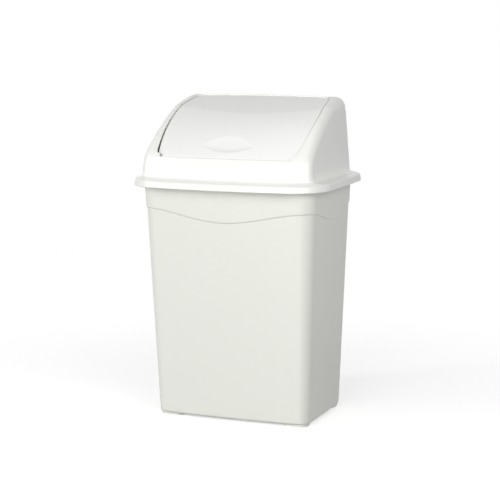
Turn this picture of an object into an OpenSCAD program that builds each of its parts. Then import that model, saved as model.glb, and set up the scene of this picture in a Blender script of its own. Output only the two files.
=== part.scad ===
// Small countertop bin: a tapered bucket, a hood that sits over its rim, and a
// curved flap that swings both ways on two side pins in the hood.
// Origin at floor level under the middle of the bin. X is the width, the front faces -Y, Z is up.

/* [Bucket] */
// Height of the bucket's rim above the surface that the bin stands on
bucket_h = 234.9; // [180:0.1:320]
// Width across the bucket's walls at the rim
bucket_w = 175.8; // [160:0.1:230]
// Depth across the bucket's walls at the rim, at the corners
bucket_d = 118.4; // [110:0.1:170]
// How far each wall leans in between the rim and the base
wall_lean = 9.3; // [3:0.1:14]
// How far the front and back bow outwards at the rim
front_bow = 8.9; // [5:0.1:12]
// How far the front and back bow outwards at the base
base_bow = 2.4; // [0:0.1:6]
// How far the two sides bow outwards at the base
side_bow = 0.9; // [0:0.1:2]
// Corner radius of the bucket at the rim
rim_corner_r = 12; // [8:0.5:20]
// Corner radius of the bucket at the base
base_corner_r = 9; // [7:0.5:16]
// Thickness of the moulded walls
wall = 2; // [1.6:0.1:2.6]
// Radius of the edge round the bottom
base_edge_r = 3; // [1:0.1:5]

/* [Rim and feet] */
// How far the rim reaches out from the bucket's walls
rim_reach = 9.9; // [8:0.1:13]
// Height of the turned-down lip round the rim
lip_h = 4.4; // [3:0.1:5]
// How far the upper band of the bucket stands proud
band_proud = 0.9; // [0.4:0.1:1.6]
// Depth below the rim of the band's wavy edge at the middle of each wall
wave_low = 38.6; // [30:0.1:60]
// How much higher the wavy edge runs at the corners
wave_rise = 10.8; // [4:0.1:18]
// Height of the four corner feet
foot_h = 2; // [1:0.1:4]
// Length of each foot along the front
foot_w = 26; // [12:0.5:40]
// Length of each foot along the side
foot_d = 20; // [10:0.5:36]
// How far the feet stand in from the walls
foot_inset = 1.4; // [0.5:0.1:3]

/* [Hood] */
// Height of the hood above its collar's ledge
hood_h = 74.3; // [66:0.1:90]
// Height of the collar that covers the bucket's rim
collar_h = 8.6; // [7.5:0.1:14]
// Width of the ledge beside the hood
ledge_side = 12.1; // [11:0.1:14]
// Width of the ledge in front of and behind the hood
ledge_front = 11.1; // [10:0.1:13]
// How much the ledge rises towards the hood's walls
ledge_rise = 1.8; // [0.5:0.1:3]
// Corner radius of the collar
collar_corner_r = 30; // [24:0.5:36]
// How far each side wall leans in between ledge and roof
side_lean = 4.8; // [2:0.1:7]
// How far the back wall leans in between ledge and roof
back_lean = 8; // [2:0.1:10]
// Height of the upright band below the flap
sill_h = 20.4; // [16:0.1:24]
// Bow of the front and back at the roof
roof_bow = 6; // [3:0.1:8]
// Steepest slope of the roof panel, as rise over run
roof_slope = 0.33; // [0.25:0.01:0.36]
// Radius of the rounded edges of the cheeks
cheek_r = 6.5; // [5:0.1:8]
// Radius of the rounded edge at the top of the back
back_edge_r = 10; // [9.5:0.1:13]
// Radius of the upright corners at the foot of the back wall
back_corner_r = 15; // [10:0.5:18]
// Distance of the roof's crease behind the middle of the bin, at the cheeks
crease_side = 12; // [6:0.5:16]
// How much further forward the crease runs at the middle of the flap
crease_sweep = 20.5; // [10:0.5:24]

/* [Flap] */
// Width of the flap's opening at its widest
opening_w = 152.4; // [136:0.1:153]
// Radius of the gentle curve of the opening's sides
opening_side_r = 250; // [220:5:400]
// Gap round the flap
flap_gap = 1.2; // [0.9:0.1:1.6]
// Thickness of the flap's shell
flap_wall = 2; // [1.5:0.1:2.4]
// Depth of the flap below the hood's surface at its lower edge
low_recess = 3.2; // [2.9:0.1:4.2]
// Depth of the flap below the hood's surface at the roof
roof_recess = 0.9; // [0.5:0.1:1.4]
// Width of the finger scoop
grip_w = 53; // [30:0.5:70]
// Height of the finger scoop, measured up the flap
grip_h = 20.8; // [12:0.1:26]
// Depth of the finger scoop
grip_deep = 1.5; // [0.8:0.1:2.5]

/* [Pivot] */
// Diameter of the two pivot pins
pin_d = 5; // [4:0.1:6]
// Running clearance between a pin and its socket, on the radius
pin_clear = 0.06; // [0.03:0.01:0.1]
// Distance of the pivot line in front of the middle of the bin
pivot_front = 8.11; // [0:0.01:14]
// Depth of the pivot line below the hood's surface
pivot_drop = 6.4; // [6.2:0.1:9]
// Depth of the flap's side ribs, which hang its weight below the pins
rib_h = 24; // [12:0.5:26]
// Depth of the lip behind the flap's rear edge
rear_lip_h = 16; // [4:0.5:20]
// Depth of the hood's side rails
rail_h = 9; // [8:0.5:13]

/* [Hidden] */

// Clearances between the bucket and the hood
seat_gap = 0.3;
skirt_gap = 0.6;
skirt_wall = 1.5;
plug_gap = 1;
plug_h = 6.5;

// Heights that follow the bucket
ledge_under = bucket_h + seat_gap;
ledge_z = ledge_under + wall + 0.4;
collar_z = ledge_z - collar_h;
roof_z = ledge_z + hood_h;
sill_z = ledge_z + sill_h;
knee_rise = 5;
knee_z = sill_z + knee_rise;
flap_drop = 0.4;

// Plan sizes that follow the bucket
rim_w = bucket_w + 2 * rim_reach;
rim_d = bucket_d + 2 * rim_reach;
collar_w = rim_w + 2 * (skirt_gap + wall);
collar_d = rim_d + 2 * (skirt_gap + wall);
hood_w = collar_w - 2 * ledge_side;
hood_d = collar_d - 2 * ledge_front;
front_y = -hood_d / 2;

// Shape of the roof and of the sloping front
roof_round = 10;
roof_level_gap = 4.5;
roof_level_y = hood_d / 2 - roof_level_gap;
sill_lean = 1.6;
sill_tuck = 0.4;
sill_round = 6.5;
knee_back = 7.3;
knee_slope = 43;
crease_slope = 23;

// Small roundings of the collar
collar_lean = 0.8;
collar_edge_r = 1.6;

// Corners of the flap's opening in plan, and how much further back the flap's front corners lie
front_corner_r = 5;
rear_corner_r = 12;
corner_ease = 1.6;
rear_edge_gap = 1.5;

// Pivot and the parts that carry it
rib_inset = 4.5;
rib_x = opening_w / 2 - rib_inset;
rail_outset = 0.4;
rail_x = opening_w / 2 + rail_outset;
boss_wall = 2;
boss_r = pin_d / 2 + boss_wall;
boss_out = 2.4;
pin_end_gap = 1.6;
pin_end = rail_x + wall + boss_out - pin_end_gap;
pin_shoulder_gap = 0.8;
shoulder_r = boss_r - 1;
lower_lip_h = 7;
lip_sink = 0.5;
scoop_wall = 2;
scoop_edge = 0.15;
hollow_depth = 5;

// Sampling of the curved surfaces
corner_n = 7;
side_n = 8;
edge_n = 5;
span_n = 12;
$fn = 48;

function mix(a, b, t) = a + (b - a) * t;
function bez2(a, b, c, t) = mix(mix(a, b, t), mix(b, c, t), t);
function bez3(a, b, c, d, t) = mix(bez2(a, b, c, t), bez2(b, c, d, t), t);

// Closed solid through a row of rings, capped at both ends or joined end to end
module loft(rings, loop = false) {
    n = len(rings[0]);
    m = len(rings);
    walls = [
        for (j = [0:loop ? m - 1 : m - 2], i = [0:n - 1])
            let (i2 = (i + 1) % n, j2 = (j + 1) % m)
            each [[j * n + i, j * n + i2, j2 * n + i2], [j * n + i, j2 * n + i2, j2 * n + i]]
    ];
    caps = loop ? [] : [[for (i = [n - 1:-1:0]) i], [for (i = [0:n - 1]) (m - 1) * n + i]];
    polyhedron([for (ring = rings) each ring], concat(walls, caps), convexity = 8);
}

// ---- Plan outlines: rounded rectangles with bowed sides, clockwise seen from above ----
quarter_n = corner_n + side_n;
plan_n = 4 * quarter_n;
function corner_point(q, w, d, rb, rf, a) =
    let (sx = (q == 0 || q == 3) ? 1 : -1, sy = q < 2 ? 1 : -1, r = q < 2 ? rb : rf)
    [sx * (w / 2 - r) + r * cos(a), sy * (d / 2 - r) + r * sin(a)];
function straight_point(q, w, d, rb, rf, t) =
    mix(corner_point(q, w, d, rb, rf, 90 * q + 90), corner_point((q + 1) % 4, w, d, rb, rf, 90 * q + 90), t);
function bowed(p, w, d, bow_y, bow_x) = [
    p.x + sign(p.x) * bow_x * max(0, 1 - pow(2 * p.y / d, 2)) * abs(2 * p.x / w),
    p.y + sign(p.y) * bow_y * max(0, 1 - pow(2 * p.x / w, 2)) * abs(2 * p.y / d)
];
// Point i of an outline w by d, with corner radius rb at the back and rf at the front
function plan_point(i, w, d, rb, rf, bow_y, bow_x) =
    let (j = plan_n - 1 - i, q = floor(j / quarter_n), k = j % quarter_n,
         p = k <= corner_n ? corner_point(q, w, d, rb, rf, 90 * (q + k / corner_n))
                           : straight_point(q, w, d, rb, rf, (k - corner_n) / side_n))
    bowed(p, w, d, bow_y, bow_x);
function plan_ring(z, w, d, rb, rf, bow_y, bow_x) = [
    for (i = [0:plan_n - 1])
        let (p = plan_point(i, w, d, rb, rf, bow_y, bow_x))
        [p.x, p.y, z]
];

// ---- Bucket ----
// Point i of the bucket's wall at height z, moved outwards by g
function bucket_point(i, z, g) =
    let (t = (z - foot_h) / (bucket_h - foot_h), lean = 2 * wall_lean * (1 - t),
         r = max(1.5, mix(base_corner_r, rim_corner_r, t) + g))
    plan_point(i, bucket_w - lean + 2 * g, bucket_d - lean + 2 * g, r, r,
               mix(base_bow, front_bow, t), side_bow * (1 - t));
function bucket_ring(z, g) = [
    for (i = [0:plan_n - 1])
        let (p = bucket_point(i, z, g))
        [p.x, p.y, z]
];
// Height of the band's wavy edge at point i
function wave_z(i) =
    let (p = bucket_point(i, bucket_h - wave_low, 0), across = abs(p.y) / bucket_d > abs(p.x) / bucket_w,
         share = across ? abs(p.x) / (bucket_w / 2 - 3) : abs(p.y) / (bucket_d / 2 - 2))
    bucket_h - wave_low + wave_rise * (1 - cos(180 * min(1, share))) / 2;
// Ring at share t of the way from height z0 up to the wavy edge, raised by rise and moved out by g
function wave_ring(z0, t, rise, g) = [
    for (i = [0:plan_n - 1])
        let (z = mix(z0, wave_z(i), t) + rise, p = bucket_point(i, z, g))
        [p.x, p.y, z]
];
function rim_ring(z, g) =
    let (r = rim_corner_r + rim_reach + 6 + g)
    plan_ring(z, rim_w + 2 * g, rim_d + 2 * g, r, r, front_bow, 0);

module bucket_shell() {
    floor_z = foot_h + wall + 0.4;
    rim_under = bucket_h - wall;
    wall_z = foot_h + base_edge_r;
    loft(concat(
        [for (a = [0:30:90]) bucket_ring(foot_h + base_edge_r * (1 - cos(a)), -base_edge_r * (1 - sin(a)))],
        [for (t = [0.33, 0.67, 1]) wave_ring(wall_z, t, 0, 0)],
        [wave_ring(wall_z, 1, 0.6, 0.25 * band_proud), wave_ring(wall_z, 1, 1.5, 0.8 * band_proud)],
        [wave_ring(wall_z, 1, 2.4, band_proud)],
        [bucket_ring(rim_under - 2, band_proud), bucket_ring(rim_under, band_proud + 1)],
        [rim_ring(rim_under, -wall), rim_ring(bucket_h - lip_h, -wall), rim_ring(bucket_h - lip_h, 0)],
        [rim_ring(bucket_h - 0.8, 0), rim_ring(bucket_h, -0.8)],
        [bucket_ring(bucket_h, 0.5 - wall), bucket_ring(bucket_h - 0.8, -wall)],
        [bucket_ring(mix(floor_z, bucket_h, 0.5), -wall)],
        [for (a = [90:-30:0]) bucket_ring(floor_z + base_edge_r * (1 - cos(a)), -wall - base_edge_r * (1 - sin(a)))]
    ));
}

module feet() {
    outline = [for (p = bucket_ring(foot_h, -foot_inset)) [p.x, p.y]];
    far_w = bucket_w / 2 - wall_lean - foot_w;
    far_d = bucket_d / 2 - wall_lean - foot_d;
    difference() {
        linear_extrude(foot_h + 1) polygon(outline);
        translate([-far_w, -bucket_d, -1]) cube([2 * far_w, 2 * bucket_d, foot_h + 3]);
        translate([-bucket_w, -far_d, -1]) cube([2 * bucket_w, 2 * far_d, foot_h + 3]);
    }
}

module bucket() {
    color("#f1f0ea") {
        bucket_shell();
        feet();
    }
}

// ---- Hood surface ----
// The surface is a row of side profiles across the width. A profile is a list of [y, z, edge radius].
function roof_at(y) =
    roof_z + roof_round - norm([roof_slope * max(0, roof_level_y - y), roof_round]);
function up_hood(z) = (z - ledge_z) / hood_h;
function half_w(z) = hood_w / 2 - side_lean * up_hood(z);
function bow_at(z) = mix(front_bow, roof_bow, up_hood(z));
function back_at(z) = hood_d / 2 - back_lean * up_hood(z);
function crease_at(s) = crease_side - crease_sweep * (1 - s * s);
// Where the rounded back edge starts, at share s of the half width
function turn_at(s) = back_at(roof_z) + bow_at(roof_z) * (1 - s * s) - back_edge_r;

// Share of the half width at a station, where the edge has radius r
function share(st, r) =
    let (edge = r / (hood_w / 2))
    st[0] * (1 - edge) + sign(st[0]) * edge * sin(st[1]);
// Profile at a station, starting and ending at height low_z
function profile(st, low_z) =
    let (s = share(st, cheek_r), b = 1 - s * s,
         crease = [crease_at(s), roof_at(crease_at(s))],
         sill = [front_y + sill_lean - bow_at(sill_z) * b, sill_z],
         sill_low = [sill.x - sill_tuck, sill_z - sill_round],
         knee = [front_y + knee_back - bow_at(knee_z) * b, knee_z],
         reach = norm(crease - knee) / 3,
         from_knee = knee + reach * [cos(knee_slope), sin(knee_slope)],
         to_crease = crease - reach * [cos(crease_slope), sin(crease_slope)],
         turn = turn_at(s),
         turn_z = roof_at(turn))
    concat(
        [for (z = [low_z, ledge_z + 5]) [front_y - bow_at(z) * b + sill_lean * 0.7 * up_hood(z), z, cheek_r]],
        [for (k = [0:6]) let (p = bez2(sill_low, sill, knee, k / 6)) [p.x, p.y, cheek_r]],
        [for (k = [1:9]) let (p = bez3(knee, from_knee, to_crease, crease, k / 9)) [p.x, p.y, cheek_r]],
        [for (k = [1:8]) let (y = mix(crease.x, turn, k / 8)) [y, roof_at(y), mix(cheek_r, back_edge_r - 1, k / 8)]],
        [for (a = [15:15:90])
            [turn + back_edge_r * sin(a), turn_z - back_edge_r * (1 - cos(a)), back_edge_r - 1]],
        [for (t = [0.33, 0.67, 1])
            let (z = mix(turn_z - back_edge_r, low_z, t), r = mix(back_edge_r - 1, back_corner_r, t))
            [back_at(z) + bow_at(z) * (1 - pow(share(st, r), 2)), z, r]]
    );
function station_at(x) = [x / (hood_w / 2 - cheek_r), 0];
function outward(p, k) =
    let (a = p[max(0, k - 1)], b = p[min(len(p) - 1, k + 1)], d = [b.x - a.x, b.y - a.y])
    [-d.y, d.x] / norm(d);
// Stations across the width: [share of the flat span, angle round the cheek's edge]
stations = concat(
    [for (k = [edge_n:-1:1]) [-1, 90 * k / edge_n]],
    [for (k = [0:span_n]) [-1 + 2 * k / span_n, 0]],
    [for (k = [1:edge_n]) [1, 90 * k / edge_n]]
);
function depth_at(z, low, top) = top + (low - top) * pow(min(1, (roof_z - z) / (roof_z - sill_z)), 2);
// Ring of the hood's surface at a station, sunk by low at the sill and by top at the roof
function hood_ring(st, low, top, low_z) =
    let (p = profile(st, low_z))
    [for (k = [0:len(p) - 1])
        let (in = depth_at(p[k].y, low, top), r = max(0.5, p[k][2] - in),
             q = [p[k].x, p[k].y] - outward(p, k) * (in + r * (1 - cos(st[1]))))
        [st[0] * (half_w(q.y) - in - r) + sign(st[0]) * r * sin(st[1]), q.x, max(low_z, q.y)]];
module hood_form(low, top, low_z) {
    loft([for (st = stations) hood_ring(st, low, top, low_z)]);
}

// ---- Flap opening, in plan ----
side_middle_y = -12;
function side_at(y) = opening_w / 2 - pow(y - side_middle_y, 2) / (2 * opening_side_r);
function rear_at(x) = turn_at(2 * x / hood_w) - rear_edge_gap;
front_corner_y = front_y + knee_back;
rear_corner_y = rear_at(0.4 * opening_w) - rear_corner_r;
front_corner_x = side_at(front_corner_y) - front_corner_r;
rear_corner_x = side_at(rear_corner_y) - rear_corner_r;
// Right half of the outline, moved in by g and with its front corner moved back by ease
function right_side(g, ease) =
    let (fr = front_corner_r - g, rr = rear_corner_r - g, fy = front_corner_y + ease)
    concat(
        [[front_corner_x - g, -hood_d], [front_corner_x - g, fy - front_corner_r]],
        [for (a = [-90:22.5:0]) [front_corner_x + fr * cos(a), fy + fr * sin(a)]],
        [for (k = [1:11]) let (y = mix(front_corner_y, rear_corner_y, k / 12)) [side_at(y) - g, y]],
        [for (a = [0:15:90]) [rear_corner_x + rr * cos(a), rear_corner_y + rr * sin(a)]],
        [for (k = [5:-1:1]) let (x = rear_corner_x * k / 6) [x, rear_at(x) - g]]
    );
module opening_prism(g, z, ease = 0) {
    right = right_side(g, ease);
    left = [for (k = [len(right) - 1:-1:0]) [-right[k].x, right[k].y]];
    translate([0, 0, z]) linear_extrude(2 * hood_h) polygon(concat(right, [[0, rear_at(0) - g]], left));
}

// ---- Pivot ----
rail_front = front_corner_y + 11.3;
rail_rear = rear_corner_y - 3;
pivot_y = -pivot_front;
pivot_z = lookup(pivot_y, [for (p = profile(station_at(rail_x), ledge_z)) if (p.y > knee_z) [p.x, p.y]]) - pivot_drop;
module along_x(x0, x1, r) {
    translate([x0, pivot_y, pivot_z]) rotate([0, 90, 0]) cylinder(h = x1 - x0, r = r);
}
// Upright plate from x0 to x1 that hangs under the surface down to depth deep. Its upper edge is sunk by
// low at the sill and by top at the roof.
module hanging_plate(x0, x1, low, top, deep) {
    p = profile(station_at(x0), ledge_z);
    keep = [for (k = [0:len(p) - 1]) if (p[k].x >= rail_front && p[k].x <= rail_rear && p[k].y > knee_z) k];
    upper = [for (k = keep) [p[k].x, p[k].y] - outward(p, k) * depth_at(p[k].y, low, top)];
    lower = [for (j = [len(keep) - 1:-1:0]) let (k = keep[j]) [p[k].x, p[k].y] - outward(p, k) * deep];
    translate([x0, 0, 0]) rotate([90, 0, 90]) linear_extrude(x1 - x0) polygon(concat(upper, lower));
}
module both_sides() {
    children();
    mirror([1, 0, 0]) children();
}

// ---- Hood ----
function collar_ring(z, g) =
    plan_ring(z, collar_w + 2 * g, collar_d + 2 * g, collar_corner_r + g, collar_corner_r + g, front_bow, 0);
function plug_ring(z, g) =
    let (r = rim_corner_r - wall - plug_gap + g, slack = 2 * (g - wall - plug_gap))
    plan_ring(z, bucket_w + slack, bucket_d + slack, r, r, front_bow, 0);

module collar() {
    ledge_low = ledge_z - ledge_rise;
    plug_low = bucket_h - plug_h;
    loft(concat(
        [collar_ring(collar_z, -0.7), collar_ring(collar_z + 0.7, 0)],
        [for (a = [0:30:90])
            collar_ring(ledge_low - collar_edge_r * (1 - sin(a)), -collar_lean - collar_edge_r * (1 - cos(a)))],
        [plug_ring(ledge_z + 0.7, -wall), plug_ring(plug_low, -wall), plug_ring(plug_low, 0)],
        [plug_ring(ledge_under, 0)],
        [collar_ring(ledge_under, -collar_lean - skirt_wall), collar_ring(collar_z, -wall)]
    ), loop = true);
}

module hood() {
    color("#fbfbf8") {
        difference() {
            union() {
                hood_form(0, 0, ledge_z - 0.5);
                collar();
            }
            hood_form(wall, wall, ledge_z - 0.9);
            opening_prism(0, sill_z);
        }
        both_sides() {
            difference() {
                union() {
                    hanging_plate(rail_x, rail_x + wall, 1, 1, rail_h);
                    along_x(rail_x, rail_x + wall + boss_out, boss_r);
                }
                along_x(rail_x - 1, rail_x + wall + boss_out + 1, pin_d / 2 + pin_clear);
            }
        }
    }
}

// ---- Flap ----
// Point of the flap's outer face at share s of the half width, t of the way from knee to crease, lifted by out
function front_face(s, t, out) =
    let (p = profile(station_at(s * hood_w / 2), ledge_z), k = 8 + 9 * t, i = floor(k),
         q = mix(p[i], p[i + 1], k - i), n = outward(p, i), lift = out - depth_at(q.y, low_recess, roof_recess))
    [s * hood_w / 2, q.x + n.x * lift, q.y + n.y * lift];
// Shares of the way from knee to crease: the scoop's two ends, and its height
grip_mid = 0.225;
front_length = 64;
grip_tall = grip_h / front_length;
// Shares of the scoop's height: the part below its ends, and where it is deepest
grip_below = 0.385;
grip_valley = 0.35;
function dish(v) = 1 - pow(v < grip_valley ? 1 - v / grip_valley : (v - grip_valley) / (1 - grip_valley), 2);
// Lens in the flap's front, larger by g all round, from height out down to edge at its rim and deeper by deep
// at its lowest
module scoop_lens(out, edge, deep, g) {
    n = 14;
    m = 12;
    rows = [
        for (i = [0:n])
            let (u = 0.96 * (2 * i / n - 1), bulge = 1 - u * u, s = u * (grip_w + 2 * g) / hood_w,
                 tall = bulge * (grip_tall + 2 * g / front_length))
            concat(
                [for (k = [0:m]) front_face(s, grip_mid + tall * (k / m - grip_below), out)],
                [for (k = [m:-1:0])
                    front_face(s, grip_mid + tall * (k / m - grip_below), edge - deep * bulge * dish(k / m))]
            )
    ];
    loft(rows);
}

// Solid under the hood's surface from depth extra below the flap's outer face
module sunk_form(extra, low_z) {
    hood_form(low_recess + extra, roof_recess + extra, low_z);
}
// Lip turned in along the flap's lower edge
module lower_lip() {
    low_z = sill_z - flap_drop;
    intersection() {
        difference() {
            sunk_form(lip_sink, ledge_z);
            sunk_form(lower_lip_h, ledge_z - hollow_depth);
        }
        opening_prism(flap_gap, low_z, corner_ease);
        translate([-hood_w, -hood_d, low_z]) cube([2 * hood_w, hood_d, flap_wall]);
    }
}
// Lip turned down along the flap's rear edge
module rear_lip() {
    low_z = roof_z - rear_lip_h;
    intersection() {
        sunk_form(lip_sink, ledge_z);
        difference() {
            opening_prism(flap_gap, low_z);
            opening_prism(flap_gap + flap_wall, low_z - 1);
            translate([-hood_w, -hood_d, low_z - 1]) cube([2 * hood_w, hood_d + rear_corner_y, 2 * hood_h]);
        }
    }
}

module swing_flap() {
    color("#fdfdfb") {
        difference() {
            union() {
                intersection() {
                    difference() {
                        sunk_form(0, ledge_z);
                        sunk_form(flap_wall, ledge_z - hollow_depth);
                    }
                    opening_prism(flap_gap, sill_z - flap_drop, corner_ease);
                }
                scoop_lens(-lip_sink, -lip_sink - scoop_edge, grip_deep + flap_wall, scoop_wall);
            }
            scoop_lens(1, -scoop_edge, grip_deep, 0);
        }
        lower_lip();
        rear_lip();
        both_sides() {
            hanging_plate(rib_x - flap_wall, rib_x, low_recess + lip_sink, roof_recess + lip_sink, rib_h);
            along_x(rib_x - flap_wall, rail_x - pin_shoulder_gap, shoulder_r);
            along_x(rib_x, pin_end, pin_d / 2);
        }
    }
}

bucket();
hood();
swing_flap();
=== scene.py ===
"""The countertop bin: a tapered bucket, a hood over its rim and a curved flap that swings in the hood."""

import math

import bpy
import numpy as np
from mathutils import Matrix, Vector


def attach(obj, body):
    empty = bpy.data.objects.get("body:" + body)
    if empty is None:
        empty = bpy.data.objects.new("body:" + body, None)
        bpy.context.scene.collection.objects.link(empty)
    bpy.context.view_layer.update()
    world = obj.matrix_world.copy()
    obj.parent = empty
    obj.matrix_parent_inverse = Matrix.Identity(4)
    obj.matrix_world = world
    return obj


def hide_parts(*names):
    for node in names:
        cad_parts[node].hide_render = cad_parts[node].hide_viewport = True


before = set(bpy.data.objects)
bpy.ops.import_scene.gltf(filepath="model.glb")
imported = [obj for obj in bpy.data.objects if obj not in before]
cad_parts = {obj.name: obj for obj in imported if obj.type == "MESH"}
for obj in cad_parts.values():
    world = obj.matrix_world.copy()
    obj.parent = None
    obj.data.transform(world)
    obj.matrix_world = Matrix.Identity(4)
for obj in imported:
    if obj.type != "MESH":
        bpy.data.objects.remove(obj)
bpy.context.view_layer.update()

# ---- Sizes, in millimetres and degrees, in the part's own frame ----
MM = 0.001
BUCKET_H = 234.9
BUCKET_W = 175.8
BUCKET_D = 118.4
WALL_LEAN = 9.3
FRONT_BOW = 8.9
BASE_BOW = 2.4
SIDE_BOW = 0.9
RIM_CORNER_R = 12.0
BASE_CORNER_R = 9.0
WALL = 2.0
BASE_EDGE_R = 3.0
RIM_REACH = 9.9
RIM_CORNER_EXTRA = 6.0
RIM_EDGE_R = 1.2
LIP_H = 4.4
BAND_PROUD = 0.9
WAVE_LOW = 38.6
WAVE_RISE = 10.8
FOOT_H = 2.0
FOOT_W = 26.0
FOOT_D = 20.0
FOOT_INSET = 1.4
FOOT_CORNER_R = 7.0
FOOT_SINK = 0.6

HOOD_H = 74.3
COLLAR_H = 8.6
LEDGE_SIDE = 12.1
LEDGE_FRONT = 11.1
LEDGE_RISE = 1.8
LEDGE_EXTRA = 0.4
COLLAR_CORNER_R = 30.0
COLLAR_LEAN = 0.8
COLLAR_EDGE_R = 1.6
SIDE_LEAN = 4.8
BACK_LEAN = 8.0
SILL_H = 20.4
SILL_LEAN = 1.6
SILL_TUCK = 0.4
SILL_ROUND = 6.5
KNEE_RISE = 5.0
KNEE_BACK = 7.3
KNEE_ANGLE = 43.0
CREASE_ANGLE = 23.0
ROOF_BOW = 6.0
ROOF_SLOPE = 0.33
ROOF_ROUND = 10.0
ROOF_LEVEL_GAP = 4.5
CHEEK_R = 6.5
BACK_EDGE_R = 10.0
BACK_CORNER_R = 15.0
CREASE_SIDE = 12.0
CREASE_SWEEP = 20.5
SEAT_GAP = 0.3
SKIRT_GAP = 0.6
SKIRT_WALL = 1.5
PLUG_GAP = 1.0
PLUG_H = 6.5
COVE = 1.4

OPENING_W = 152.4
OPENING_SIDE_R = 250.0
OPENING_WIDEST_Y = -12.0
OPENING_FRONT_R = 5.0
OPENING_REAR_R = 12.0
REAR_EDGE_GAP = 1.5
CORNER_EASE = 1.6
FLAP_GAP = 1.2
FLAP_WALL = 2.0
FLAP_DROP = 0.4
LOW_RECESS = 3.2
ROOF_RECESS = 0.9
GRIP_W = 53.0
GRIP_Z = 270.8
GRIP_ABOVE = 8.1
GRIP_BELOW = 5.4
GRIP_DEEP = 1.5
GRIP_VALLEY = 0.35
SCOOP_WALL = 2.0

PIN_D = 5.0
PIN_CLEAR = 0.06
PIVOT_Y = -8.11
PIVOT_Z = 289.3996
PIN_END_GAP = 1.6
SHOULDER_GAP = 0.8
BOSS_WALL = 2.0
BOSS_OUT = 2.4
RIB_H = 24.0
RIB_INSET = 4.5
REAR_LIP_H = 16.0
LOWER_LIP_H = 7.0
LIP_SINK = 0.5
HOLLOW_DEPTH = 5.0
RAIL_H = 9.0
RAIL_OUTSET = 0.4

LEDGE_UNDER = BUCKET_H + SEAT_GAP
LEDGE_Z = LEDGE_UNDER + WALL + LEDGE_EXTRA
COLLAR_Z = LEDGE_Z - COLLAR_H
ROOF_Z = LEDGE_Z + HOOD_H
SILL_Z = LEDGE_Z + SILL_H
KNEE_Z = SILL_Z + KNEE_RISE
RIM_W = BUCKET_W + 2 * RIM_REACH
RIM_D = BUCKET_D + 2 * RIM_REACH
COLLAR_W = RIM_W + 2 * (SKIRT_GAP + WALL)
COLLAR_D = RIM_D + 2 * (SKIRT_GAP + WALL)
HOOD_W = COLLAR_W - 2 * LEDGE_SIDE
HOOD_D = COLLAR_D - 2 * LEDGE_FRONT
FRONT_Y = -HOOD_D / 2
ROOF_LEVEL_Y = HOOD_D / 2 - ROOF_LEVEL_GAP
RIB_X = OPENING_W / 2 - RIB_INSET
RAIL_X = OPENING_W / 2 + RAIL_OUTSET
BOSS_R = PIN_D / 2 + BOSS_WALL
PIN_END = RAIL_X + WALL + BOSS_OUT - PIN_END_GAP
SHOULDER_END = RAIL_X - SHOULDER_GAP
SMOOTH_ANGLE = 32


# ---- Curves and meshes ----
def mix(a, b, t):
    return a + (b - a) * t


def bezier(points, t):
    points = [np.asarray(p, float) for p in points]
    while len(points) > 1:
        points = [mix(a, b, t) for a, b in zip(points, points[1:])]
    return points[0]


def mesh_object(name, verts, faces):
    """A mesh object from millimetre vertices."""
    mesh = bpy.data.meshes.new(name)
    mesh.from_pydata([tuple(v) for v in np.asarray(verts) * MM], [], faces)
    mesh.validate()
    obj = bpy.data.objects.new(name, mesh)
    bpy.context.collection.objects.link(obj)
    return obj


def loft(name, rings, loop=False):
    """A closed solid through rings that run clockwise seen from beyond the last one."""
    rings = np.asarray(rings, float)
    m, n = rings.shape[:2]
    faces = []
    for j in range(m if loop else m - 1):
        k = (j + 1) % m
        for i in range(n):
            h = (i + 1) % n
            faces.append((j * n + i, j * n + h, k * n + h, k * n + i))
    if not loop:
        faces.append(tuple(reversed(range(n))))
        faces.append(tuple((m - 1) * n + i for i in range(n)))
    obj = mesh_object(name, rings.reshape(-1, 3), faces)
    # with the rings this way round the faces point inwards, so they are turned over
    obj.data.flip_normals()
    return obj


def applied(obj):
    """The object with its modifiers made part of its mesh."""
    graph = bpy.context.evaluated_depsgraph_get()
    mesh = bpy.data.meshes.new_from_object(obj.evaluated_get(graph))
    obj.modifiers.clear()
    obj.data = mesh
    return obj


def combined(obj, other, operation):
    """obj cut by, kept inside or joined with other, which is used up."""
    cut = obj.modifiers.new("cut", "BOOLEAN")
    cut.operation = operation
    cut.solver = "EXACT"
    cut.object = other
    applied(obj)
    bpy.data.objects.remove(other)
    return obj


def smoothed(obj):
    """Smooth shading that keeps the sharper edges crisp."""
    obj.data.shade_smooth()
    obj.data.set_sharp_from_angle(angle=math.radians(SMOOTH_ANGLE))
    weighted = obj.modifiers.new("even shading", "WEIGHTED_NORMAL")
    weighted.keep_sharp = True
    return obj


def cylinder_x(name, x0, x1, r, sides=64):
    """A cylinder along X on the pivot line."""
    turn = np.linspace(0, 2 * math.pi, sides, endpoint=False)
    ring = np.column_stack([np.zeros(sides), PIVOT_Y - r * np.cos(turn), PIVOT_Z + r * np.sin(turn)])
    return loft(name, [ring + [x, 0, 0] for x in (x0, x1)])


# ---- Plan outlines ----
CORNER_N = 14
SIDE_N = 26


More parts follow.
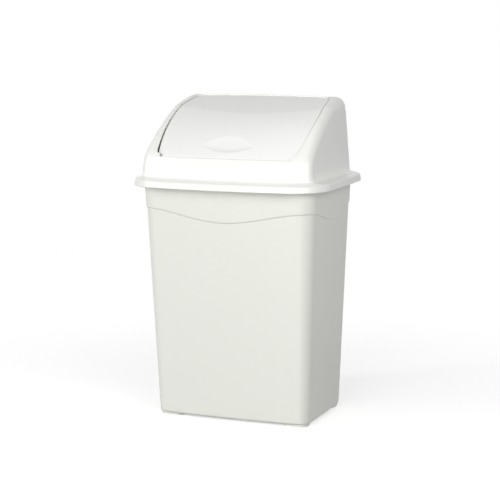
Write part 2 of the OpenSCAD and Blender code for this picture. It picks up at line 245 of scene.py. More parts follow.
def plan_ring(z, w, d, rb, rf, bow_y, bow_x):
    """A rounded rectangle with bowed sides, clockwise seen from above. z is a number or one value a point."""
    points = []
    for q, (sx, sy) in enumerate(((1, 1), (-1, 1), (-1, -1), (1, -1))):
        r = rb if sy > 0 else rf
        centre = np.array([sx * (w / 2 - r), sy * (d / 2 - r)])
        for k in range(CORNER_N + 1):
            a = math.radians(90 * (q + k / CORNER_N))
            points.append(centre + r * np.array([math.cos(a), math.sin(a)]))
        nx, ny = ((-1, 1), (-1, -1), (1, -1), (1, 1))[q]
        nr = rb if ny > 0 else rf
        a = math.radians(90 * (q + 1))
        following = np.array([nx * (w / 2 - nr), ny * (d / 2 - nr)]) + nr * np.array([math.cos(a), math.sin(a)])
        for k in range(1, SIDE_N):
            points.append(mix(points[(CORNER_N + SIDE_N) * q + CORNER_N], following, k / SIDE_N))
    p = np.array(points)[::-1]
    x = p[:, 0] + np.sign(p[:, 0]) * bow_x * np.clip(1 - (2 * p[:, 1] / d) ** 2, 0, 1) * np.abs(2 * p[:, 0] / w)
    y = p[:, 1] + np.sign(p[:, 1]) * bow_y * np.clip(1 - (2 * p[:, 0] / w) ** 2, 0, 1) * np.abs(2 * p[:, 1] / d)
    return np.column_stack([x, y, np.broadcast_to(z, x.shape)])


# ---- Bucket ----
def bucket_ring(z, g=0.0):
    """The bucket's wall at height z, moved outwards by g."""
    t = (z - FOOT_H) / (BUCKET_H - FOOT_H)
    lean = 2 * WALL_LEAN * (1 - t)
    r = max(1.5, mix(BASE_CORNER_R, RIM_CORNER_R, t) + g)
    return plan_ring(
        z, BUCKET_W - lean + 2 * g, BUCKET_D - lean + 2 * g, r, r, mix(BASE_BOW, FRONT_BOW, t), SIDE_BOW * (1 - t)
    )


def wave_heights():
    """Height of the band's wavy edge at each point of a bucket ring."""
    p = bucket_ring(BUCKET_H - WAVE_LOW)
    x, y = np.abs(p[:, 0]), np.abs(p[:, 1])
    across = y / BUCKET_D > x / BUCKET_W
    share = np.where(across, x / (BUCKET_W / 2 - 3), y / (BUCKET_D / 2 - 2))
    return BUCKET_H - WAVE_LOW + WAVE_RISE * (1 - np.cos(math.pi * np.minimum(1, share))) / 2


def wave_ring(z0, t, rise, g):
    """The ring at share t of the way from height z0 up to the wavy edge, raised by rise and moved out by g."""
    heights = mix(z0, wave_heights(), t) + rise
    low, high = bucket_ring(z0, g), bucket_ring(BUCKET_H, g)
    share = ((heights - z0) / (BUCKET_H - z0))[:, None]
    ring = mix(low, high, share)
    ring[:, 2] = heights
    return ring


def rim_ring(z, g=0.0):
    r = RIM_CORNER_R + RIM_REACH + RIM_CORNER_EXTRA + g
    return plan_ring(z, RIM_W + 2 * g, RIM_D + 2 * g, r, r, FRONT_BOW, 0)


def quarter(steps):
    return [math.radians(90 * k / steps) for k in range(steps + 1)]


def make_bucket():
    floor_z = FOOT_H + WALL + 0.4
    rim_under = BUCKET_H - WALL
    wall_z = FOOT_H + BASE_EDGE_R
    rings = [
        bucket_ring(FOOT_H + BASE_EDGE_R * (1 - math.cos(a)), -BASE_EDGE_R * (1 - math.sin(a))) for a in quarter(6)
    ]
    rings.insert(0, bucket_ring(FOOT_H, -BASE_EDGE_R - 1.0))
    rings += [wave_ring(wall_z, t, 0, 0) for t in np.linspace(0, 0.99, 26)[1:]]
    # the wavy step: a hollow at its foot and a rounded upper edge
    step = [(0.0, 0.0), (0.25, 0.03), (0.5, 0.16), (0.75, 0.42), (1.0, 0.7), (1.25, 0.88), (1.6, 0.98), (2.2, 1.0)]
    rings += [wave_ring(wall_z, 1, rise, BAND_PROUD * out) for rise, out in step]
    last = wave_ring(wall_z, 1, 3.0, BAND_PROUD)
    under = bucket_ring(rim_under - 2, BAND_PROUD)
    rings += [mix(last, under, t) for t in np.linspace(0, 1, 9)]
    rings += [bucket_ring(rim_under - 0.8, BAND_PROUD + 0.35), bucket_ring(rim_under, BAND_PROUD + 1.2)]
    low = BUCKET_H - LIP_H
    rings += [rim_ring(rim_under, -WALL - 0.5), rim_ring(rim_under - 0.5, -WALL), rim_ring(low + 0.4, -WALL)]
    rings += [rim_ring(low, -WALL + 0.4), rim_ring(low, -0.4), rim_ring(low + 0.4, 0)]
    r = RIM_EDGE_R
    rings += [rim_ring(BUCKET_H - r * (1 - math.sin(a)), -r * (1 - math.cos(a))) for a in quarter(4)]
    rings += [bucket_ring(BUCKET_H - r * (1 - math.cos(a)), -WALL + r * (1 - math.sin(a))) for a in quarter(4)]
    rings += [bucket_ring(z, -WALL) for z in np.linspace(BUCKET_H - 2, floor_z + BASE_EDGE_R + 1, 14)]
    rings += [
        bucket_ring(floor_z + BASE_EDGE_R * (1 - math.cos(a)), -WALL - BASE_EDGE_R * (1 - math.sin(a)))
        for a in reversed(quarter(6))
    ]
    rings.append(bucket_ring(floor_z, -WALL - BASE_EDGE_R - 1.0))
    return loft("bucket_shell", rings)


# ---- Hood surface ----
def roof_at(y):
    return ROOF_Z + ROOF_ROUND - np.hypot(ROOF_SLOPE * np.maximum(0, ROOF_LEVEL_Y - y), ROOF_ROUND)


def up_hood(z):
    return (z - LEDGE_Z) / HOOD_H


def half_w(z):
    return HOOD_W / 2 - SIDE_LEAN * up_hood(z)


def bow_at(z):
    return mix(FRONT_BOW, ROOF_BOW, up_hood(z))


def back_at(z):
    return HOOD_D / 2 - BACK_LEAN * up_hood(z)


def crease_at(s):
    return CREASE_SIDE - CREASE_SWEEP * (1 - s * s)


def turn_at(s):
    return back_at(ROOF_Z) + bow_at(ROOF_Z) * (1 - s * s) - BACK_EDGE_R


def share(station, r):
    """Share of the half width at a station, where the edge has radius r."""
    edge = r / (HOOD_W / 2)
    return station[0] * (1 - edge) + math.copysign(edge, station[0]) * math.sin(math.radians(station[1]))


def profile(station, low_z):
    """Side profile at a station, from the front's foot over the roof to the back: rows of [y, z, edge radius]."""
    s = share(station, CHEEK_R)
    b = 1 - s * s
    crease = np.array([crease_at(s), roof_at(crease_at(s))])
    sill = np.array([FRONT_Y + SILL_LEAN - bow_at(SILL_Z) * b, SILL_Z])
    sill_low = sill + [-SILL_TUCK, -SILL_ROUND]
    knee = np.array([FRONT_Y + KNEE_BACK - bow_at(KNEE_Z) * b, KNEE_Z])
    reach = np.hypot(*(crease - knee)) / 3
    rise, ease = math.radians(KNEE_ANGLE), math.radians(CREASE_ANGLE)
    from_knee = knee + reach * np.array([math.cos(rise), math.sin(rise)])
    to_crease = crease - reach * np.array([math.cos(ease), math.sin(ease)])
    turn = turn_at(s)
    turn_z = roof_at(turn)
    rows = []
    for z in np.linspace(low_z, LEDGE_Z + 12, 5):
        rows.append([FRONT_Y - bow_at(z) * b + SILL_LEAN * 0.7 * up_hood(z), z, CHEEK_R])
    for t in np.linspace(0, 1, 15)[1:]:
        rows.append([*bezier((sill_low, sill, knee), t), CHEEK_R])
    for t in np.linspace(0, 1, 29)[1:]:
        rows.append([*bezier((knee, from_knee, to_crease, crease), t), CHEEK_R])
    for t in np.linspace(0, 1, 25)[1:]:
        y = mix(crease[0], turn, t)
        rows.append([y, roof_at(y), mix(CHEEK_R, BACK_EDGE_R - 1, t)])
    for a in quarter(12)[1:]:
        y, z = turn + BACK_EDGE_R * math.sin(a), turn_z - BACK_EDGE_R * (1 - math.cos(a))
        rows.append([y, z, BACK_EDGE_R - 1])
    for t in np.linspace(0, 1, 17)[1:]:
        z, r = mix(turn_z - BACK_EDGE_R, low_z, t), mix(BACK_EDGE_R - 1, BACK_CORNER_R, t)
        rows.append([back_at(z) + bow_at(z) * (1 - share(station, r) ** 2), z, r])
    return np.array(rows)


def outward(p):
    d = np.gradient(p[:, :2], axis=0)
    return np.column_stack([-d[:, 1], d[:, 0]]) / np.hypot(d[:, 0], d[:, 1])[:, None]


def depth_at(z, low, top):
    return top + (low - top) * np.minimum(1, (ROOF_Z - z) / (ROOF_Z - SILL_Z)) ** 2


def hood_ring(station, low, top, low_z, inwards=0.0):
    """Ring of the hood's surface at a station, sunk by low at the sill and by top at the roof."""
    p = profile(station, low_z)
    sunk = depth_at(p[:, 1], low, top)
    r = np.maximum(0.5, p[:, 2] - sunk)
    a = math.radians(station[1])
    q = p[:, :2] - outward(p) * (sunk + r * (1 - math.cos(a)) + inwards)[:, None]
    x = station[0] * (half_w(q[:, 1]) - sunk - r) + math.copysign(1, station[0]) * r * math.sin(a)
    return np.column_stack([x, q[:, 0], np.maximum(low_z, q[:, 1])])


def hood_form(name, low, top, low_z):
    flat = [(u, 0) for u in np.linspace(-1, 1, 49)]
    edge = [90 * k / 9 for k in range(1, 10)]
    rings = [hood_ring((-1, 90), low, top, low_z, inwards=1.0)]
    rings += [hood_ring((-1, a), low, top, low_z) for a in reversed(edge)]
    rings += [hood_ring(st, low, top, low_z) for st in flat]
    rings += [hood_ring((1, a), low, top, low_z) for a in edge]
    rings += [hood_ring((1, 90), low, top, low_z, inwards=1.0)]
    return loft(name, rings)


def station_at(x):
    return (x / (HOOD_W / 2 - CHEEK_R), 0)


# ---- Flap opening, in plan ----
def side_at(y):
    return OPENING_W / 2 - (y - OPENING_WIDEST_Y) ** 2 / (2 * OPENING_SIDE_R)


def rear_at(x):
    return turn_at(2 * x / HOOD_W) - REAR_EDGE_GAP


FRONT_CORNER_Y = FRONT_Y + KNEE_BACK
REAR_CORNER_Y = rear_at(0.4 * OPENING_W) - OPENING_REAR_R
FRONT_CORNER_X = side_at(FRONT_CORNER_Y) - OPENING_FRONT_R
REAR_CORNER_X = side_at(REAR_CORNER_Y) - OPENING_REAR_R
RAIL_FRONT = FRONT_CORNER_Y + 11.3
RAIL_REAR = REAR_CORNER_Y - 3


def right_side(g, ease):
    """Right half of the outline, moved in by g and with its front corner moved back by ease."""
    fr, rr, fy = OPENING_FRONT_R - g, OPENING_REAR_R - g, FRONT_CORNER_Y + ease
    points = [(FRONT_CORNER_X - g, -HOOD_D), (FRONT_CORNER_X - g, fy - OPENING_FRONT_R)]
    points += [(FRONT_CORNER_X + fr * math.sin(a), fy - fr * math.cos(a)) for a in quarter(10)]
    points += [(side_at(y) - g, y) for y in np.linspace(FRONT_CORNER_Y, REAR_CORNER_Y, 41)[2:-1]]
    points += [(REAR_CORNER_X + rr * math.cos(a), REAR_CORNER_Y + rr * math.sin(a)) for a in quarter(12)]
    points += [(x, rear_at(x) - g) for x in np.linspace(REAR_CORNER_X, 0, 25)[1:-1]]
    return points


def opening_prism(name, g, z, ease=0.0):
    right = right_side(g, ease)
    outline = right + [(0, rear_at(0) - g)] + [(-x, y) for x, y in reversed(right)]
    ring = np.array([(x, y, 0) for x, y in reversed(outline)])
    return loft(name, [ring + [0, 0, h] for h in (z, z + 2 * HOOD_H)])


def box_solid(name, low, high):
    (x0, y0, z0), (x1, y1, z1) = low, high
    ring = np.array([(x0, y0, 0), (x0, y1, 0), (x1, y1, 0), (x1, y0, 0)], float)
    return loft(name, [ring + [0, 0, z] for z in (z0, z1)])


def hanging_plate(name, x0, x1, low, top, deep):
    """Upright plate between x0 and x1 that hangs under the surface, down to depth deep."""
    p = profile(station_at(x0), LEDGE_Z)
    n = outward(p)
    keep = (p[:, 0] >= RAIL_FRONT) & (p[:, 0] <= RAIL_REAR) & (p[:, 1] > KNEE_Z)
    upper = (p[:, :2] - n * depth_at(p[:, 1], low, top)[:, None])[keep]
    lower = (p[:, :2] - n * deep)[keep][::-1]
    ring = np.vstack([upper, lower])
    return loft(name, [np.column_stack([np.full(len(ring), x), ring]) for x in sorted((x0, x1))])


# ---- Hood ----
def collar_ring(z, g=0.0):
    return plan_ring(z, COLLAR_W + 2 * g, COLLAR_D + 2 * g, COLLAR_CORNER_R + g, COLLAR_CORNER_R + g, FRONT_BOW, 0)


def foot_ring(z, g=0.0):
    return plan_ring(
        z, HOOD_W + 2 * g, HOOD_D + 2 * g, BACK_CORNER_R + COVE + g, CHEEK_R + COVE + g, FRONT_BOW, 0
    )


def plug_ring(z, g=0.0):
    r = RIM_CORNER_R - WALL - PLUG_GAP + g
    slack = 2 * (g - WALL - PLUG_GAP)
    return plan_ring(z, BUCKET_W + slack, BUCKET_D + slack, r, r, FRONT_BOW, 0)


def make_collar():
    ledge_low = LEDGE_Z - LEDGE_RISE
    plug_low = BUCKET_H - PLUG_H
    rings = [collar_ring(COLLAR_Z, -0.9), collar_ring(COLLAR_Z + 0.15, -0.45), collar_ring(COLLAR_Z + 0.7, 0)]
    rings += [
        collar_ring(ledge_low - COLLAR_EDGE_R * (1 - math.sin(a)), -COLLAR_LEAN - COLLAR_EDGE_R * (1 - math.cos(a)))
        for a in quarter(6)
    ]
    rings += [mix(rings[-1], foot_ring(LEDGE_Z - 0.2, 2 * COVE), t) for t in (0.25, 0.5, 0.75, 1)]
    rings += [foot_ring(LEDGE_Z + 0.1, 1.4 * COVE), foot_ring(LEDGE_Z + 0.6, 0.7 * COVE)]
    rings += [foot_ring(LEDGE_Z + 1.8, -1), plug_ring(LEDGE_Z + 1.8, -WALL)]
    rings += [plug_ring(plug_low, -WALL), plug_ring(plug_low, 0)]
    rings += [plug_ring(LEDGE_UNDER, 0)]
    rings += [collar_ring(LEDGE_UNDER, -COLLAR_LEAN - SKIRT_WALL), collar_ring(COLLAR_Z, -WALL)]
    return loft("collar", rings, loop=True)


def make_hood():
    shell = hood_form("hood_shell", 0, 0, LEDGE_Z - 0.5)
    combined(shell, make_collar(), "UNION")
    combined(shell, hood_form("hollow", WALL, WALL, LEDGE_Z - 0.9), "DIFFERENCE")
    combined(shell, opening_prism("opening", 0, SILL_Z), "DIFFERENCE")
    for side in (-1, 1):
        rail = hanging_plate("rail", side * RAIL_X, side * (RAIL_X + WALL), 1, 1, RAIL_H)
        x = sorted((side * RAIL_X, side * (RAIL_X + WALL + BOSS_OUT)))
        combined(rail, cylinder_x("boss", *x, BOSS_R), "UNION")
        x = sorted((side * (RAIL_X - 1), side * (RAIL_X + WALL + BOSS_OUT + 1)))
        combined(rail, cylinder_x("socket", *x, PIN_D / 2 + PIN_CLEAR), "DIFFERENCE")
        combined(shell, rail, "UNION")
    return shell


# ---- Flap ----
def face_point(x, z, out):
    """Point of the flap's outer face at width x and height z, lifted by out."""
    p = profile(station_at(x), LEDGE_Z)
    p = p[: len(p) - 30]
    n = outward(p)
    i = int(np.argmax(p[:, 1] > z))
    t = (z - p[i - 1, 1]) / (p[i, 1] - p[i - 1, 1])
    q, m = mix(p[i - 1, :2], p[i, :2], t), mix(n[i - 1], n[i], t)
    q = q - m * (depth_at(q[1], LOW_RECESS, ROOF_RECESS) - out)
    return (x, q[0], q[1])


def dish(v):
    """Share of the scoop's depth at share v of its height, deepest at GRIP_VALLEY."""
    return 1 - (1 - v / GRIP_VALLEY if v < GRIP_VALLEY else (v - GRIP_VALLEY) / (1 - GRIP_VALLEY)) ** 2


def scoop_lens(name, out, edge, deep, g):
    """Lens in the flap's front, larger by g all round, from height out down to edge and deeper in its middle."""
    rings = []
    for u in np.linspace(-0.995, 0.995, 61):
        bulge = 1 - u * u
        x = u * (GRIP_W / 2 + g)
        low, high = GRIP_Z - (GRIP_BELOW + g) * bulge, GRIP_Z + (GRIP_ABOVE + g) * bulge
        steps = np.linspace(0, 1, 33)
        outer = [face_point(x, mix(low, high, v), out) for v in steps]
        inner = [face_point(x, mix(low, high, v), edge - deep * bulge * dish(v)) for v in reversed(steps)]
        rings.append(np.array(outer + inner))
    return loft(name, rings)


def make_flap():
    shell = hood_form("flap_shell", LOW_RECESS, ROOF_RECESS, LEDGE_Z)
    hollow = hood_form("hollow", LOW_RECESS + FLAP_WALL, ROOF_RECESS + FLAP_WALL, LEDGE_Z - HOLLOW_DEPTH)
    combined(shell, hollow, "DIFFERENCE")
    combined(shell, opening_prism("outline", FLAP_GAP, SILL_Z - FLAP_DROP, CORNER_EASE), "INTERSECT")
    combined(shell, scoop_lens("scoop_back", -0.5, -0.6, GRIP_DEEP + FLAP_WALL, SCOOP_WALL), "UNION")
    combined(shell, scoop_lens("scoop", 1, -0.05, GRIP_DEEP, 0), "DIFFERENCE")
    low_z = SILL_Z - FLAP_DROP
    lower_lip = hood_form("lower_lip", LOW_RECESS + LIP_SINK, ROOF_RECESS + LIP_SINK, LEDGE_Z)
    hollow = hood_form("hollow", LOW_RECESS + LOWER_LIP_H, ROOF_RECESS + LOWER_LIP_H, LEDGE_Z - HOLLOW_DEPTH)
    combined(lower_lip, hollow, "DIFFERENCE")
    combined(lower_lip, opening_prism("outline", FLAP_GAP, low_z, CORNER_EASE), "INTERSECT")
    front = box_solid("front", (-HOOD_W, -HOOD_D, low_z - 1), (HOOD_W, 0, low_z + FLAP_WALL))
    combined(lower_lip, front, "INTERSECT")
    combined(shell, lower_lip, "UNION")
    lip_z = ROOF_Z - REAR_LIP_H
    rear_lip = hood_form("rear_lip", LOW_RECESS + LIP_SINK, ROOF_RECESS + LIP_SINK, LEDGE_Z)
    combined(rear_lip, opening_prism("outline", FLAP_GAP, lip_z), "INTERSECT")
    combined(rear_lip, opening_prism("inside", FLAP_GAP + FLAP_WALL, lip_z - 1), "DIFFERENCE")
    front = box_solid("front", (-HOOD_W, -HOOD_D, lip_z - 1), (HOOD_W, REAR_CORNER_Y, ROOF_Z + HOOD_H))
    combined(rear_lip, front, "DIFFERENCE")
    combined(shell, rear_lip, "UNION")
    for side in (-1, 1):
        x = (side * (RIB_X - FLAP_WALL), side * RIB_X)
        rib = hanging_plate("rib", *x, LOW_RECESS + LIP_SINK, ROOF_RECESS + LIP_SINK, RIB_H)
        shoulder = cylinder_x("shoulder", *sorted((x[0], side * SHOULDER_END)), BOSS_R - 1)
        pin = cylinder_x("pin", *sorted((x[1], side * PIN_END)), PIN_D / 2)
        combined(rib, shoulder, "UNION")
        combined(rib, pin, "UNION")
        combined(shell, rib, "UNION")
    return shell


# ---- Materials ----
def moulded_skin_group():
    """Shader group: the faint tone drift, uneven gloss and orange-peel of an injection moulding."""
    group = bpy.data.node_groups.new("moulded_skin", "ShaderNodeTree")
    for name, kind, value in (
        ("Place", "NodeSocketVector", None),
        ("Colour", "NodeSocketColor", (0.9, 0.9, 0.9, 1)),
        ("Tone drift", "NodeSocketFloat", 0.01),
        ("Smoothest", "NodeSocketFloat", 0.2),
        ("Roughest", "NodeSocketFloat", 0.24),
        ("Peel size", "NodeSocketFloat", 1100.0),
        ("Peel depth", "NodeSocketFloat", 0.02),
    ):
        socket = group.interface.new_socket(name, in_out="INPUT", socket_type=kind)
        if value is not None:
            socket.default_value = value
    for name, kind in (
        ("Colour", "NodeSocketColor"),
        ("Roughness", "NodeSocketFloat"),
        ("Normal", "NodeSocketVector"),
    ):
        group.interface.new_socket(name, in_out="OUTPUT", socket_type=kind)
    nodes, links = group.nodes, group.links
    given, made = nodes.new("NodeGroupInput"), nodes.new("NodeGroupOutput")

    clouds = nodes.new("ShaderNodeTexNoise")
    clouds.inputs["Scale"].default_value = 9
    clouds.inputs["Detail"].default_value = 4
    links.new(given.outputs["Place"], clouds.inputs["Vector"])
    darker = nodes.new("ShaderNodeMath")
    darker.operation = "MULTIPLY"
    links.new(clouds.outputs["Fac"], darker.inputs[0])
    links.new(given.outputs["Tone drift"], darker.inputs[1])
    kept = nodes.new("ShaderNodeMath")
    kept.operation = "SUBTRACT"
    kept.inputs[0].default_value = 1
    links.new(darker.outputs[0], kept.inputs[1])
    tone = nodes.new("ShaderNodeVectorMath")
    tone.operation = "SCALE"
    links.new(given.outputs["Colour"], tone.inputs[0])
    links.new(kept.outputs[0], tone.inputs["Scale"])
    links.new(tone.outputs[0], made.inputs["Colour"])

    flow = nodes.new("ShaderNodeTexNoise")
    flow.inputs["Scale"].default_value = 60
    flow.inputs["Detail"].default_value = 5
    links.new(given.outputs["Place"], flow.inputs["Vector"])
    gloss = nodes.new("ShaderNodeMix")
    links.new(flow.outputs["Fac"], gloss.inputs["Factor"])
    links.new(given.outputs["Smoothest"], gloss.inputs["A"])
    links.new(given.outputs["Roughest"], gloss.inputs["B"])
    links.new(gloss.outputs[0], made.inputs["Roughness"])

    peel = nodes.new("ShaderNodeTexNoise")
    peel.inputs["Detail"].default_value = 1
    links.new(given.outputs["Place"], peel.inputs["Vector"])
    links.new(given.outputs["Peel size"], peel.inputs["Scale"])
    bump = nodes.new("ShaderNodeBump")
    bump.inputs["Distance"].default_value = 0.0002
    links.new(peel.outputs["Fac"], bump.inputs["Height"])
    links.new(given.outputs["Peel depth"], bump.inputs["Strength"])
    links.new(bump.outputs["Normal"], made.inputs["Normal"])
    return group


MOULDED_SKIN = moulded_skin_group()


def moulded_plastic(name, colour, **finish):
    """Glossy moulded plastic of one colour. finish sets inputs of the skin group that differ from its defaults."""
    material = bpy.data.materials.new(name)
    material.use_nodes = True
    nodes, links = material.node_tree.nodes, material.node_tree.links
    shader = nodes["Principled BSDF"]
    shader.inputs["IOR"].default_value = 1.49
    place = nodes.new("ShaderNodeTexCoord")
    skin = nodes.new("ShaderNodeGroup")
    skin.node_tree = MOULDED_SKIN
    skin.inputs["Colour"].default_value = (*colour, 1)
    for key, value in finish.items():
        skin.inputs[key.replace("_", " ").capitalize()].default_value = value
    links.new(place.outputs["Object"], skin.inputs["Place"])
    links.new(skin.outputs["Colour"], shader.inputs["Base Color"])
    links.new(skin.outputs["Roughness"], shader.inputs["Roughness"])
    links.new(skin.outputs["Normal"], shader.inputs["Normal"])
    return material


BUCKET_PLASTIC = moulded_plastic("bucket_plastic", (0.885, 0.893, 0.828), tone_drift=0.015, roughest=0.25)
HOOD_PLASTIC = moulded_plastic("hood_plastic", (0.94, 0.945, 0.91))
FLAP_PLASTIC = moulded_plastic("flap_plastic", (0.94, 0.942, 0.922))


# ---- Feet: one rounded pad, placed at the four corners by geometry nodes ----
def node_tree(name, inputs):
    tree = bpy.data.node_groups.new(name, "GeometryNodeTree")
    tree.interface.new_socket("Geometry", in_out="INPUT", socket_type="NodeSocketGeometry")
    for key, (kind, value) in inputs.items():
        socket = tree.interface.new_socket(key, in_out="INPUT", socket_type=kind)
        if value is not None:
            socket.default_value = value
    tree.interface.new_socket("Geometry", in_out="OUTPUT", socket_type="NodeSocketGeometry")
    return tree


def corner_feet_tree():
    """Flat pads with a rounded plan, one at each corner of a rectangle of foot centres."""
    length = ("NodeSocketFloat", 0.01)
    tree = node_tree(
        "corner_feet",
        {
            "Pad width": length,
            "Pad depth": length,
            "Pad height": length,
            "Corner radius": length,
            "Across": length,
            "Along": length,
            "Material": ("NodeSocketMaterial", None),
        },
    )
    nodes, links = tree.nodes, tree.links
    given, made = nodes.new("NodeGroupInput"), nodes.new("NodeGroupOutput")
    outline = nodes.new("GeometryNodeCurvePrimitiveQuadrilateral")
    links.new(given.outputs["Pad width"], outline.inputs["Width"])
    links.new(given.outputs["Pad depth"], outline.inputs["Height"])
    rounded = nodes.new("GeometryNodeFilletCurve")
    rounded.mode = "POLY"
    rounded.inputs["Count"].default_value = 8
    links.new(outline.outputs["Curve"], rounded.inputs["Curve"])
    links.new(given.outputs["Corner radius"], rounded.inputs["Radius"])
    face = nodes.new("GeometryNodeFillCurve")
    face.mode = "NGONS"
    links.new(rounded.outputs["Curve"], face.inputs["Curve"])
    # the filled face points up, so it is raised into the pad and turned over for the tread
    pad = nodes.new("GeometryNodeExtrudeMesh")
    pad.inputs["Individual"].default_value = False
    links.new(face.outputs["Mesh"], pad.inputs["Mesh"])
    links.new(given.outputs["Pad height"], pad.inputs["Offset Scale"])
    tread = nodes.new("GeometryNodeFlipFaces")
    links.new(face.outputs["Mesh"], tread.inputs["Mesh"])
    closed = nodes.new("GeometryNodeJoinGeometry")
    links.new(pad.outputs["Mesh"], closed.inputs["Geometry"])
    links.new(tread.outputs["Mesh"], closed.inputs["Geometry"])
    welded = nodes.new("GeometryNodeMergeByDistance")
    welded.inputs["Distance"].default_value = 0.00001
    links.new(closed.outputs["Geometry"], welded.inputs["Geometry"])
    corners = nodes.new("GeometryNodeMeshGrid")
    corners.inputs["Vertices X"].default_value = 2
    corners.inputs["Vertices Y"].default_value = 2
    links.new(given.outputs["Across"], corners.inputs["Size X"])
    links.new(given.outputs["Along"], corners.inputs["Size Y"])
    placed = nodes.new("GeometryNodeInstanceOnPoints")
    links.new(corners.outputs["Mesh"], placed.inputs["Points"])
    links.new(welded.outputs["Geometry"], placed.inputs["Instance"])
    real = nodes.new("GeometryNodeRealizeInstances")
    links.new(placed.outputs["Instances"], real.inputs["Geometry"])
    finished = nodes.new("GeometryNodeSetMaterial")
    links.new(real.outputs["Geometry"], finished.inputs["Geometry"])
    links.new(given.outputs["Material"], finished.inputs["Material"])
    links.new(finished.outputs["Geometry"], made.inputs["Geometry"])
    return tree


def grown(name, tree, values):
    """A plain mesh object made by a geometry node tree with these input values."""
    obj = bpy.data.objects.new(name, bpy.data.meshes.new(name))
    bpy.context.collection.objects.link(obj)
    modifier = obj.modifiers.new(name, "NODES")
    modifier.node_group = tree
    sockets = {i.name: i.identifier for i in tree.interface.items_tree if i.in_out == "INPUT"}
    for key, value in values.items():
        modifier[sockets[key]] = value
    return applied(obj)


def make_feet():
    base_w = BUCKET_W - 2 * WALL_LEAN - 2 * FOOT_INSET
    base_d = BUCKET_D - 2 * WALL_LEAN - 2 * FOOT_INSET
    pad_w, pad_d = FOOT_W - FOOT_INSET, FOOT_D - FOOT_INSET
    return grown(
        "feet",
        corner_feet_tree(),
        {
            "Pad width": pad_w * MM,
            "Pad depth": pad_d * MM,
            "Pad height": (FOOT_H + FOOT_SINK) * MM,
            "Corner radius": FOOT_CORNER_R * MM,
            "Across": (base_w - pad_w) * MM,
            "Along": (base_d - pad_d) * MM,
            "Material": BUCKET_PLASTIC,
        },
    )


# ---- The part ----
def finished(obj, material, body, slot, node=None):
    """Gives obj its material, unless it brought one, and ties it to the frame."""
    if material is not None:
        obj.data.materials.clear()
        obj.data.materials.append(material)
    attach(obj, body)
    if node:
        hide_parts(node)


finished(smoothed(make_bucket()), BUCKET_PLASTIC, "bucket", "bucket", "bucket")
finished(smoothed(make_feet()), None, "bucket", "bucket")
finished(smoothed(make_hood()), HOOD_PLASTIC, "hood", "hood", "hood")
finished(smoothed(make_flap()), FLAP_PLASTIC, "swing_flap", "swing_flap", "swing_flap")


# ---- Stage, lights and camera: the floor in millimetres, the rest in metres and degrees ----
FLOOR_HALF = 6000
LAMPS_AIM = Vector((0, 0, 0.17))
CAMERA_TURNS = (22.551, 9.267, 0.391)
CAMERA_PLACE = (0.60328, -1.45059, 0.41775)
CAMERA_LENS = 116.005


def white_to_camera(nodes, links, seen, otherwise, output):
    """Shows seen to the camera and in reflections, and otherwise lights the part."""
    rays = nodes.new("ShaderNodeLightPath")
    direct, either = nodes.new("ShaderNodeMath"), nodes.new("ShaderNodeMath")
    direct.operation = either.operation = "MAXIMUM"
    links.new(rays.outputs["Is Camera Ray"], direct.inputs[0])
    links.new(rays.outputs["Is Glossy Ray"], direct.inputs[1])
    links.new(direct.outputs[0], either.inputs[0])
    links.new(rays.outputs["Is Transmission Ray"], either.inputs[1])
    switch = nodes.new("ShaderNodeMixShader")
    links.new(either.outputs[0], switch.inputs[0])
    links.new(otherwise, switch.inputs[1])
    links.new(seen, switch.inputs[2])
    links.new(switch.outputs[0], output)


def make_floor():
    h = FLOOR_HALF
    floor = mesh_object("floor", [(-h, -h, 0), (h, -h, 0), (h, h, 0), (-h, h, 0)], [(0, 1, 2, 3)])
    material = bpy.data.materials.new("pale_floor")
    material.use_nodes = True
    nodes, links = material.node_tree.nodes, material.node_tree.links
    shader = nodes["Principled BSDF"]
    shader.inputs["Base Color"].default_value = (0.2, 0.2, 0.2, 1)
    shader.inputs["Roughness"].default_value = 0.9
    shader.inputs["Specular IOR Level"].default_value = 0.0
    near = nodes.new("ShaderNodeBsdfDiffuse")
    near.inputs["Color"].default_value = (0.8, 0.8, 0.8, 1)
    glow = nodes.new("ShaderNodeEmission")
    glow.inputs["Strength"].default_value = 0.56
    lit = nodes.new("ShaderNodeAddShader")
    links.new(near.outputs[0], lit.inputs[0])
    links.new(glow.outputs[0], lit.inputs[1])
    white = nodes.new("ShaderNodeEmission")
    place = nodes.new("ShaderNodeTexCoord")
    distance = nodes.new("ShaderNodeVectorMath")
    distance.operation = "LENGTH"
    links.new(place.outputs["Object"], distance.inputs[0])
    fade = nodes.new("ShaderNodeMapRange")
    fade.interpolation_type = "SMOOTHSTEP"
    fade.inputs["From Min"].default_value = 0.1
    fade.inputs["From Max"].default_value = 0.5
    links.new(distance.outputs["Value"], fade.inputs["Value"])
    seen = nodes.new("ShaderNodeMixShader")
    links.new(fade.outputs[0], seen.inputs[0])
    links.new(lit.outputs[0], seen.inputs[1])
    links.new(white.outputs[0], seen.inputs[2])
    white_to_camera(nodes, links, seen.outputs[0], shader.outputs[0], nodes["Material Output"].inputs["Surface"])
    floor.data.materials.append(material)


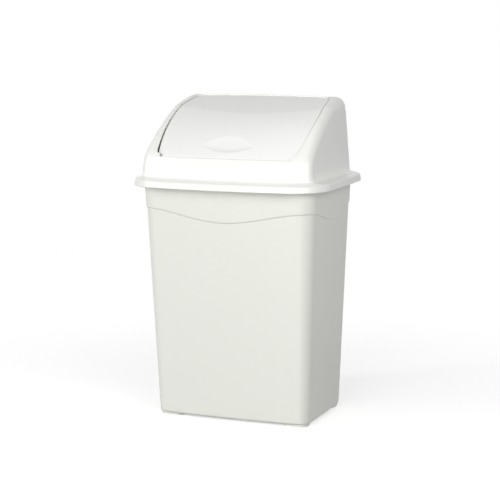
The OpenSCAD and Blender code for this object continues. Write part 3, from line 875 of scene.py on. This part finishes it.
def make_world():
    world = bpy.data.worlds.new("studio")
    bpy.context.scene.world = world
    world.use_nodes = True
    nodes, links = world.node_tree.nodes, world.node_tree.links
    fill = nodes["Background"]
    fill.inputs["Color"].default_value = (1, 1, 1, 1)
    fill.inputs["Strength"].default_value = 0.2
    white = nodes.new("ShaderNodeBackground")
    white.inputs["Color"].default_value = (1, 1, 1, 1)
    white_to_camera(nodes, links, white.outputs[0], fill.outputs[0], nodes["World Output"].inputs["Surface"])


def softbox(name, turn, tilt, distance, size, power):
    """A rectangular lamp aimed at the bin, turn degrees round from its front and tilt degrees up."""
    lamp = bpy.data.lights.new(name, "AREA")
    lamp.shape = "RECTANGLE"
    lamp.size, lamp.size_y = size
    lamp.energy = power
    obj = bpy.data.objects.new(name, lamp)
    bpy.context.collection.objects.link(obj)
    turn, tilt = math.radians(turn), math.radians(tilt)
    away = Vector((math.sin(turn) * math.cos(tilt), -math.cos(turn) * math.cos(tilt), math.sin(tilt)))
    obj.location = LAMPS_AIM + distance * away
    obj.rotation_euler = away.to_track_quat("Z", "Y").to_euler()


def make_camera():
    """The photograph's view: 22.55 degrees round from the front, 9.27 degrees above level, a long lens."""
    turn, tilt, roll = map(math.radians, CAMERA_TURNS)
    back = Vector((math.sin(turn) * math.cos(tilt), -math.cos(turn) * math.cos(tilt), math.sin(tilt)))
    right = Vector((math.cos(turn), math.sin(turn), 0))
    up = back.cross(right)
    across = right * math.cos(roll) - up * math.sin(roll)
    upright = right * math.sin(roll) + up * math.cos(roll)
    data = bpy.data.cameras.new("camera")
    data.sensor_width = 36
    data.lens = CAMERA_LENS
    data.clip_start = 0.05
    camera = bpy.data.objects.new("camera", data)
    bpy.context.collection.objects.link(camera)
    camera.matrix_world = Matrix.Translation(CAMERA_PLACE) @ (
        Matrix((across, upright, back)).transposed().to_4x4()
    )
    bpy.context.scene.camera = camera


make_floor()
make_world()
softbox("front", 0, 12, 2, (1.0, 1.2), 12.6)
softbox("front_left", -30, 12, 2, (0.8, 1.4), 3.6)
softbox("left_strip", -50, 14, 2, (0.3, 1.4), 13)
softbox("front_right", 50, 18, 1, (0.5, 0.6), 3.9)
softbox("rear_right", 150, 25, 2, (0.6, 1.4), 0.3)
softbox("overhead", 0, 90, 2, (1.2, 1.2), 2.8)
make_camera()
bpy.context.scene.view_settings.view_transform = "Standard"
